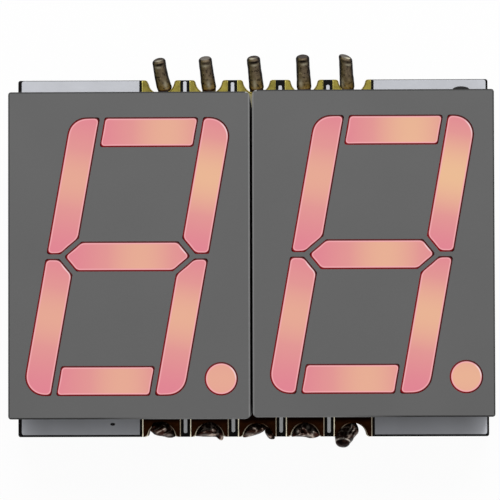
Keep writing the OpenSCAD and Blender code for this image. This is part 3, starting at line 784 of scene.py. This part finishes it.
def outline_of(node, count):
    """Outline of a node's convex upper face, anticlockwise, at even steps of its length."""
    points = points_of(node)
    face = np.unique(points[points[:, 2] > points[:, 2].max() - 0.01][:, :2].round(4), axis=0)
    away = face - face.mean(0)
    loop = face[np.argsort(np.arctan2(away[:, 1], away[:, 0]))]
    loop = np.vstack([loop, loop[:1]])
    arc = np.concatenate([[0], np.cumsum(np.linalg.norm(np.diff(loop, axis=0), axis=1))])
    at = np.arange(count) / count * arc[-1]
    return np.stack([np.interp(at, arc, loop[:, k]) for k in (0, 1)], 1)


def spine_of(outline, slant):
    """For each outline point, the nearest point of the stroke's middle line, and the way that line runs.

    The middle line stops half a stroke short of the stroke's two ends. That of a round piece is its middle.
    """
    low, high = outline.min(0), outline.max(0)
    middle = (low + high) / 2
    wide, tall = high - low
    if abs(wide - tall) < ROUND_WITHIN:
        return np.broadcast_to(middle, outline.shape), np.array([0.0, 1.0])
    along = np.array([np.sin(slant), np.cos(slant)]) if tall > wide else np.array([1.0, 0.0])
    reach = (outline - middle) @ along
    half = np.median(np.abs((outline - middle) @ np.array([along[1], -along[0]])))
    kept = np.clip(reach, reach.min() + half, reach.max() - half)
    return middle + kept[:, None] * along, along


class DISPLAY_OT_diffusers(bpy.types.Operator):
    """Casts the fourteen segments and the two decimal points"""

    bl_idname = "led_display.diffusers"
    bl_label = "Diffusers"

    def execute(self, context):
        sizes = context.scene.display_sizes
        epoxy = lit_epoxy(context.scene.display_colours, sizes.glow_reach / MM)
        for k, side in enumerate(SIDES):
            dice = points_of(f"{side}_dice")[:, :2]
            for part, shares in LIGHT_SHARES.items():
                self.cast(f"{side}_{part}", dice, shares[k], sizes, epoxy)
        return {"FINISHED"}

    def cast(self, node, dice, share, sizes, epoxy):
        """P(u, v) = outline(u) moved by e(v) towards the stroke's middle line, at height z(e).

        The rings climb the pocket's wall, turn over a round shoulder and run in over a slightly dished top.
        The mean of each outline point and its neighbours rounds the corners and leaves straight sides alone.
        """
        outline = beside_mean(outline_of(node, OUTLINE_POINTS), CORNER_MEAN)
        spine, along = spine_of(outline, radians(STROKE_SLANT))
        depth = np.linalg.norm(spine - outline, axis=1)
        low, high = box_of(node)[:, 2]
        fill, shoulder, dish = sizes.fill / MM, sizes.shoulder / MM, sizes.dish / MM
        turn = np.linspace(0, pi / 2, SHOULDER_RINGS)
        edge = (fill + shoulder) * (1 - np.cos(turn)) - fill
        inset = np.concatenate([[TOP_STEPS[-1], -fill], edge, TOP_STEPS])
        inset = np.minimum(inset[:, None], depth * STEP_LIMIT)
        rings = np.empty((*inset.shape, 3))
        rings[..., :2] = outline + unit(spine - outline) * inset[..., None]
        rings[..., 2] = high - dish * np.clip((inset - shoulder) / DISH_RUN, 0, 1)
        rings[2 : 2 + len(turn), :, 2] = (high - shoulder * (1 - np.sin(turn)))[:, None]
        rings[:2, :, 2] = low

        least, most = outline.min(0), outline.max(0)
        over = np.all(np.abs(dice - (least + most) / 2) < (most - least) / 2, axis=1)
        away = (rings[..., :2] - dice[over].mean(0)) @ along
        tangent = np.roll(outline, -1, 0) - np.roll(outline, 1, 0)
        normal = unit(np.stack([tangent[:, 1], -tangent[:, 0]], 1))
        flank = beside_mean(0.5 + normal @ np.array(LEAK_WAY), FLANK_MEAN)
        rim = np.clip((inset + RIM_START) / RIM_RUN, 0, 1)
        rim[:2] = 0
        shape = rings.shape[:2]
        attributes = {
            "away": [away],
            "share": [np.full(shape, share)],
            "rim": [rim],
            "flank": [np.broadcast_to(flank, shape)],
        }
        new_piece(f"{node}_casting", [rings], epoxy, attributes, [node])


def mouth_path(inset):
    """Right half of a half-hole's mouth, moved into the land: an arc of the hole, then a fillet to the edge.

    x to the right and y out of the board, from the hole's middle on the board's edge.
    """
    reach = HOLE_RADIUS + MOUTH_ROUND
    tilt = np.arcsin(MOUTH_ROUND / reach)
    arc = np.linspace(-radians(MOUTH_FROM), -tilt, MOUTH_STEPS)
    turn = np.linspace(pi - tilt, pi / 2, FILLET_STEPS)[1:]
    wall = (HOLE_RADIUS + inset) * np.stack([np.cos(arc), np.sin(arc)], 1)
    fillet = (MOUTH_ROUND - inset) * np.stack([np.cos(turn), np.sin(turn)], 1)
    return np.vstack([wall, fillet + [reach * np.cos(tilt), -MOUTH_ROUND]])


class DISPLAY_OT_board(bpy.types.Operator):
    """Finishes the board, its lacquer and its lands, and rolls the lands' rims"""

    bl_idname = "led_display.board"
    bl_label = "Circuit board"

    def execute(self, context):
        colours = context.scene.display_colours
        dress("circuit_board", black_laminate(colours))
        middle = box_of("top_land_3")[:, 0].mean()
        dress("front_lacquer", printed_lacquer("white_printed_lacquer", colours.lacquer, middle))
        dress("back_lacquer", printed_lacquer("dark_printed_lacquer", colours.back_lacquer))
        gold, burnt = tarnished_gold(colours), burnt_flux_and_shade(colours)
        for n in PINS:
            dress(f"top_land_{n}", gold)
            dress(f"bottom_land_{n}", burnt)
        bead = context.scene.display_sizes.rim_bead / MM
        self.roll_rims("top", bead, highlit_rim("top_rim_painted_highlight", colours.gold_rim_highlight, colours.burnt))
        self.roll_rims("bottom", bead, highlit_rim("bottom_rim_painted_highlight", colours.rim, colours.burnt))
        return {"FINISHED"}

    def roll_rims(self, row, bead, rim):
        """P(t, a) = C(t) + bead (cos a N + sin a Z): a round bead along a land's sides and its half-hole."""
        outward = 1 if row == "top" else -1
        left, right, mouth_left, mouth_right = RIM_SHARES[row]
        mouth = mouth_path(bead)
        gain = np.linspace(0, 1, len(mouth)) ** RIM_GAIN[row]
        beads, bright = [], []
        for n in PINS:
            low, high = box_of(f"{row}_land_{n}")
            outer, inner = (high[1], low[1]) if row == "top" else (low[1], high[1])
            middle = (low[0] + high[0]) / 2
            run = np.linspace(inner, outer, BEAD_STEPS)
            paths = [
                (np.stack([np.full_like(run, low[0] + bead), run], 1), np.full(len(run), left)),
                (np.stack([np.full_like(run, high[0] - bead), run], 1), np.full(len(run), right)),
                (mouth * [-1, outward] + [middle, outer], mouth_left * gain),
                (mouth * [1, outward] + [middle, outer], mouth_right * gain),
            ]
            for path, share in paths:
                path = np.column_stack([path, np.full(len(path), high[2] - bead * BEAD_SUNK)])
                radius = np.full((len(path), BEAD_TURNS), bead)
                beads.append(tube(path, radius, BEAD_TURNS, unit(np.gradient(path, axis=0))))
                bright.append(np.broadcast_to(share[:, None], radius.shape))
        new_piece(f"{row}_land_rims", beads, rim, {"bright": bright})


class DISPLAY_OT_dice(bpy.types.Operator):
    """Finishes the dice, their pads and their bond wires"""

    bl_idname = "led_display.dice"
    bl_label = "Dice"

    def execute(self, context):
        colours = context.scene.display_colours
        crystal, gold = die_crystal(colours), bonding_gold(colours)
        for side in SIDES:
            dress(f"{side}_dice", crystal)
            dress(f"{side}_die_pads", gold)
            dress(f"{side}_bond_wires", gold)
        return {"FINISHED"}


class DISPLAY_OT_wires(bpy.types.Operator):
    """Draws the five wire pins of the top row"""

    bl_idname = "led_display.wires"
    bl_label = "Wire pins"

    def execute(self, context):
        tin = stained_tin(context.scene.display_colours)
        mounts = {m["name"]: m for m in frame["record"]["mounts"]}
        dent = context.scene.display_sizes.wire_dent / MM
        for n, marks in enumerate(WIRES, 1):
            name = f"top_wire_{n}"
            self.shape(name, mounts[name], dent, n, marks, tin)
        return {"FINISHED"}

    def shape(self, node, mount, dent, n, marks, tin):
        """P(s, a) = axis(s) + bow(s) + r(s, a) (cos a U + sin a S), with dents in r and a rounded end.

        The bow is a parabola that is nought at the root and at the tip. A slanted cut makes each line along
        the wire longer or shorter by its distance across times the cut's slope.
        """
        bow, cut = marks[:2]
        axis = np.array(mount["axis"])
        at = np.array(mount["pos_m"]) / MM
        root_z = box_of(node)[0, 2] + WIRE_RADIUS * np.sqrt(1 - axis[2] ** 2)
        root = at + axis * (root_z - at[2]) / axis[2]
        full = ((points_of(node) - root) @ axis).max()
        turn = np.linspace(0, pi / 2, ROUND_RINGS)[1:]
        straight = np.linspace(-WIRE_IN, full - WIRE_ROUND, WIRE_RINGS)
        round_end = full - WIRE_ROUND * (1 - np.sin(turn))
        cap_share = np.array(CAP_STEPS)
        run = np.concatenate([straight, round_end, full - WIRE_DISH * (1 - cap_share)])
        flare = 1 + ROOT_FLARE * np.clip(1 - straight / (FLARE_RUN * full), 0, 1)
        flare[: len(FIRST_RINGS)] *= FIRST_RINGS
        narrowing = WIRE_RADIUS - WIRE_ROUND * (1 - np.cos(turn))
        cap_in = (WIRE_RADIUS - WIRE_ROUND) * cap_share
        size = np.concatenate([WIRE_RADIUS * flare, narrowing, cap_in])[:, None]
        angle = turn_of(WIRE_TURNS)
        waves = [np.sin(k * angle + per_mm * run[:, None] + phase * n) for k, per_mm, phase in DENT_WAVES]
        ring = size - dent * (0.5 + 0.5 * np.mean(waves, axis=0)) * size / WIRE_RADIUS
        level = unit(np.cross(axis, [0.0, 0.0, 1.0]))
        upward = np.cross(level, axis)
        across, lift = ring * np.sin(angle), ring * np.cos(angle)
        share = ((run + WIRE_IN) / (full + WIRE_IN))[:, None]
        reach = run[:, None] - np.clip(share, 0, 1) * (across + WIRE_RADIUS) * np.tan(radians(cut))
        across = across - bow * 4 * share * (1 - share)
        rings = root + reach[..., None] * axis + across[..., None] * level + lift[..., None] * upward
        attributes = self.paint_light_and_shade(ring, angle, np.broadcast_to(share, ring.shape), n, marks)
        new_piece(f"{node}_drawn", [rings], tin, attributes, [node])

    def paint_light_and_shade(self, ring, angle, along, n, marks):
        """Painted shade and glints of a wire: bell curves along it and across it, on its front, its cut end
        or its far rim.
        """
        shine, glint, glint_side = marks[2:]
        up, side = (np.broadcast_to(f(angle), ring.shape) for f in (np.cos, np.sin))
        front, back = np.clip(up * FRONT_FADE, 0, 1), np.clip(-up * FRONT_FADE, 0, 1)
        tip = along > TIP_FROM
        cap = np.clip((WIRE_RADIUS - WIRE_ROUND * CAP_ROUND - ring) / CAP_EDGE, 0, 1) * tip
        flank_shade = np.clip((np.abs(side) - FLANK_SHADE_FROM) / FLANK_SHADE_RUN, 0, 1) * (1 - cap)
        below_cut = bump(along, *CUT_SHADE) * front * np.clip(SHADE_WIDE - np.abs(side), 0, 1)
        far_rim = bump(ring, *FAR_RIM) * back * tip
        dark = [FLANK_SHADE_SHARE * flank_shade, below_cut * (SHADE_SHARE - SHADE_LESS * shine), far_rim]
        across, lift = ring * side / WIRE_RADIUS, ring * up / WIRE_RADIUS
        reach, width = CAP_GLINT_SIDE
        on_cap = bump(across, glint_side * reach, width) * bump(lift, *CAP_GLINT_UP) * cap
        start, step, width = CUT_GLINT_SIDE
        under_cut = bump(along, *CUT_GLINT) * bump(side, start + step * n, width) * front
        start, step, width = ROOT_GLINT_SIDE
        root_line = bump(along, *ROOT_GLINT) * bump(side, start + step * n, width) * front
        light = [glint * on_cap, CUT_GLINT_SHARE * under_cut, ROOT_GLINT_SHARE * root_line]
        return {
            "along": [along],
            "side": [0.5 + 0.5 * side],
            "dark": [np.clip(np.max(dark, axis=0), 0, 1)],
            "light": [np.max(light, axis=0)],
            "cap": [cap],
            "shine": [np.full(ring.shape, shine)],
        }


def smooth_loop(corners, count):
    """Closed curve through points: between two of them a cubic, with its slopes from those beside them."""
    points = np.array(corners)
    step = np.arange(count) / count * len(points)
    first = step.astype(int)
    t = (step - first)[:, None]
    before, start, end, after = (points[(first + k) % len(points)] for k in (-1, 0, 1, 2))
    return 0.5 * (
        2 * start
        + (end - before) * t
        + (2 * before - 5 * start + 4 * end - after) * t**2
        + (3 * start - before - 3 * end + after) * t**3
    )


def wrinkles(x, y, seed):
    """Sum of two sine waves, the first with its phase bent by a third, from -1 to 1."""
    bent = x * 11 + 2.2 * np.sin(7 * y + 2 * x + seed) + 3.1 * seed
    return 0.6 * np.sin(bent) + 0.4 * np.sin(13 * y - 6 * x + 1.7 * seed)


def against_wall(flat, near, right=1.0):
    """Points in a half-hole, measured from its middle: those beyond a radius are moved onto the hole's wall.

    Points further right than a limit are only kept inside the wall.
    """
    away = np.linalg.norm(flat, axis=-1, keepdims=True)
    share = np.clip((away - near) / WALL_BLEND, 0, 1) * (flat[..., 1:] > 0)
    share = share * np.clip((right - flat[..., :1]) / RIGHT_BLEND, 0, 1)
    wall = HOLE_RADIUS - WALL_GAP
    moved = away + share * (wall - away)
    return flat * np.minimum(moved, wall) / np.maximum(away, 1e-6)


class DISPLAY_OT_solder(bpy.types.Operator):
    """Sets the solder that holds the wires, and the stub of the bottom row"""

    bl_idname = "led_display.solder"
    bl_label = "Solder"

    def execute(self, context):
        sizes = context.scene.display_sizes
        colours = context.scene.display_colours
        solder, clean = fluxed_solder(colours), clean_solder(colours)
        for n in PINS:
            dress(f"top_solder_{n}", clean)
        for n, outlines in LUMPS.items():
            self.settle(n, outlines, sizes.lump_rise / MM, sizes.lump_ripple / MM, solder)
        self.stub(PINS[-1], solder)
        return {"FINISHED"}

    def settle(self, n, outlines, rise, ripple, solder):
        """P(u, v) = m + s(v) (outline(u) - m), z(v): a root in the half-hole, then a wrinkled dome.

        On the dome z = top + rise (1 - a power of s), with wrinkles that fade towards the rim.
        """
        origin, top = self.mouth(n)
        foot = len(LUMP_FOOT)
        dome = np.linspace(1.0, LUMP_TIP, LUMP_RINGS)
        share = np.concatenate([LUMP_FOOT[:, 0], dome])[:, None, None]
        surfaces, crests, pales = [], [], []
        for k, corners in enumerate(outlines):
            outline = smooth_loop(corners, LUMP_POINTS)
            middle = outline.mean(0)
            place = middle + share * (outline - middle)
            place[:foot] = against_wall(place[:foot], LUMP_WALL)
            x, y = place[..., 0], place[..., 1]
            wave = wrinkles(x, y, n + PART_SEED * k)
            width = np.ptp(outline, axis=0).min()
            height = top + min(rise, width * LUMP_STEEP) * (1 - dome**LUMP_FALL)
            z = np.concatenate([LUMP_FOOT[:, 1], height])[:, None] + np.zeros(len(outline))
            z[foot:] += ripple * wave[foot:] * (1 - dome**RIPPLE_FADE)[:, None]
            surfaces.append(np.concatenate([place + origin, z[..., None]], 2))
            crests.append(LUMP_SHEEN[0] + LUMP_SHEEN[1] * bump(wave, *CREST))
            bare = [s * bump(x, a, w) * bump(y, b, h) for a, b, w, h, s in BARE_HIGHLIGHT_PATCHES[n]]
            pales.append(np.max(bare, axis=0))
        replaced = [f"bottom_solder_{n}", f"bottom_wire_{n}"]
        new_piece(f"bottom_lump_{n}", surfaces, solder, {"crest": crests, "pale": pales}, replaced)

    def mouth(self, n):
        """Middle of a half-hole on the board's lower edge, and the height just over its land."""
        low, high = box_of(f"bottom_land_{n}")
        return np.array([(low[0] + high[0]) / 2, low[1]]), high[2] + LUMP_GAP

    def stub(self, n, solder):
        """P(s, a) = C(s) + r(s, a) (cos a U + sin a S): a wrinkled coat that swells at its root.

        C is a curve from the root to the tip that turns through one bend, (1 - s)^2 root + 2 s (1 - s) bend
        + s^2 tip. The end is a low dome, with a painted highlight ring behind it.
        """
        origin, top = self.mouth(n)
        points = points_of(f"bottom_wire_{n}")
        middle = points.mean(0)
        axis = np.linalg.svd(points - middle)[2][0]
        axis *= np.sign(axis[2])
        reach = (points - middle) @ axis
        middle = middle - [STUB_LEFT, 0, 0]
        root, tip = middle + (reach.min() + STUB_IN) * axis, middle + (reach.max() + STUB_OUT) * axis
        bend = tip - STUB_STEP
        run = np.linspace(0, 1, STUB_RINGS)
        turn = np.linspace(0, pi / 2, END_RINGS)[1:]
        s = np.concatenate([run, np.ones_like(turn)])[:, None]
        tangent = unit((1 - s) * (bend - root) + s * (tip - bend))
        domed = np.concatenate([np.zeros_like(run), STUB_DOME * np.sin(turn)])[:, None]
        path = (1 - s) ** 2 * root + 2 * s * (1 - s) * bend + s**2 * tip + domed * tangent
        swell = STUB_RADIUS * (1 - STUB_TAPER * run**TAPER_POWER)
        swell[:ROOT_RINGS] *= np.sqrt(1 - np.linspace(ROOT_FROM, 0.0, ROOT_RINGS) ** 2)
        size = np.concatenate([swell, np.maximum(swell[-1] * np.cos(turn), STUB_TIP)])
        angle = turn_of(WIRE_TURNS)
        side = np.sin(angle)
        wave = wrinkles(side * WRINKLE_ACROSS, s * WRINKLE_ALONG + WRINKLE_FRONT * np.cos(angle), STUB_SEED)
        rings = tube(path, size[:, None] * (1 + STUB_WRINKLE * wave), WIRE_TURNS, tangent)
        flat = rings[..., :2] - origin
        sunk = (rings[..., 2] < top) & (flat[..., 1] > 0)
        rings[..., :2] = np.where(sunk[..., None], against_wall(flat, STUB_WALL, STUB_RIGHT), flat) + origin

        front = np.clip(np.cos(angle) * STUB_FADE, 0, 1)
        on_end = np.concatenate([np.zeros_like(run), np.ones_like(turn)])[:, None]
        strength = RING_LEAST + (1 - RING_LEAST) * bump(side, *END_RING_SIDE)
        edge = bump(s, *END_RING) * front * (1 - on_end) * strength
        furrow = np.clip(np.sin(FURROWS[0] * side + FURROWS[1] * s), 0, 1) ** 2
        streak = bump(s, *STREAK) * bump(side, *STREAK_SIDE) * front * furrow
        pale = np.maximum(edge, STREAK_SHARE * streak)
        coat = STUB_SHEEN[0] + STUB_SHEEN[1] * bump(wave, *CREST)
        crest = np.where(s > END_FROM, END_SHEEN[0] + END_SHEEN[1] * wave, coat)
        replaced = [f"bottom_solder_{n}", f"bottom_wire_{n}"]
        new_piece(f"bottom_stub_{n}", [rings], solder, {"crest": [crest], "pale": [pale]}, replaced)


class DISPLAY_OT_stage(bpy.types.Operator):
    """Lays the floor and sets the lights, the surroundings and the camera"""

    bl_idname = "led_display.stage"
    bl_label = "Stage"

    def execute(self, context):
        scene = context.scene
        self.floor(scene)
        for name, (place, size, power) in SOFTBOXES.items():
            self.lamp(scene, name, place, size, power)
        self.surroundings(scene)
        self.camera(scene)
        scene.view_settings.view_transform = "Standard"
        return {"FINISHED"}

    def floor(self, scene):
        """A square of paper just under the display."""
        corners = np.array([(-1, -1), (1, -1), (1, 1), (-1, 1)]) * FLOOR_HALF
        mesh = bpy.data.meshes.new("floor")
        mesh.from_pydata([(x * MM, y * MM, -FLOOR_GAP * MM) for x, y in corners], [], [(0, 1, 2, 3)])
        mesh.materials.append(pale_floor())
        floor = bpy.data.objects.new("floor", mesh)
        scene.collection.objects.link(floor)

    def lamp(self, scene, name, place, size, power):
        """A square softbox that faces the display."""
        light = bpy.data.lights.new(name, "AREA")
        light.shape = "SQUARE"
        light.size = size * MM
        light.energy = power
        lamp = bpy.data.objects.new(name, light)
        lamp.location = Vector(place) * MM
        lamp.rotation_euler = (-lamp.location).to_track_quat("-Z", "Y").to_euler()
        scene.collection.objects.link(lamp)

    def surroundings(self, scene):
        """A room that lights the display softly, and that is white to the camera and in reflections."""
        world = bpy.data.worlds.new("studio")
        world.use_nodes = True
        world.node_tree.nodes.clear()
        add = partial(add_node, world.node_tree)
        room = add("Background", [grey(1.0), ROOM_LIGHT])
        white = add("Background", [grey(1.0), 1.0])
        add("OutputWorld", [add("MixShader", [seen_share(add), room, white])])
        scene.world = world

    def camera(self, scene):
        """The photograph's view: nearly straight onto the face, from slightly below and to the right."""
        data = bpy.data.cameras.new("camera")
        data.sensor_width = CAMERA_SENSOR
        data.lens = CAMERA_LENS
        data.clip_start, data.clip_end = CAMERA_CLIP
        camera = bpy.data.objects.new("camera", data)
        camera.location = Vector(CAMERA_PLACE) * MM
        camera.rotation_euler = Euler([radians(a) for a in CAMERA_TURN], "XYZ")
        scene.collection.objects.link(camera)
        scene.camera = camera


class DISPLAY_PT_finish(bpy.types.Panel):
    """Lists the display's finish"""

    bl_idname = "DISPLAY_PT_finish"
    bl_label = "LED display"
    bl_space_type = "VIEW_3D"
    bl_region_type = "UI"
    bl_category = "LED display"

    def draw(self, context):
        for operator in OPERATORS:
            self.layout.operator(operator.bl_idname)
        for group in (context.scene.display_sizes, context.scene.display_colours):
            for key in group.bl_rna.properties.keys():
                if key not in ("rna_type", "name"):
                    self.layout.prop(group, key)


OPERATORS = (
    DISPLAY_OT_housings,
    DISPLAY_OT_diffusers,
    DISPLAY_OT_board,
    DISPLAY_OT_dice,
    DISPLAY_OT_wires,
    DISPLAY_OT_solder,
    DISPLAY_OT_stage,
)
CLASSES = (DisplaySizes, DisplayColours, *OPERATORS, DISPLAY_PT_finish)


def register():
    """Registers the classes and puts the sizes and colours on the scene."""
    for cls in CLASSES:
        bpy.utils.register_class(cls)
    bpy.types.Scene.display_sizes = PointerProperty(type=DisplaySizes)
    bpy.types.Scene.display_colours = PointerProperty(type=DisplayColours)


def unregister():
    """Takes the sizes, the colours and the classes away again."""
    del bpy.types.Scene.display_colours
    del bpy.types.Scene.display_sizes
    for cls in reversed(CLASSES):
        bpy.utils.unregister_class(cls)


def main():
    """Makes every piece and the stage."""
    register()
    bpy.ops.led_display.housings()
    bpy.ops.led_display.diffusers()
    bpy.ops.led_display.board()
    bpy.ops.led_display.dice()
    bpy.ops.led_display.wires()
    bpy.ops.led_display.solder()
    bpy.ops.led_display.stage()


if __name__ == "__main__":
    main()
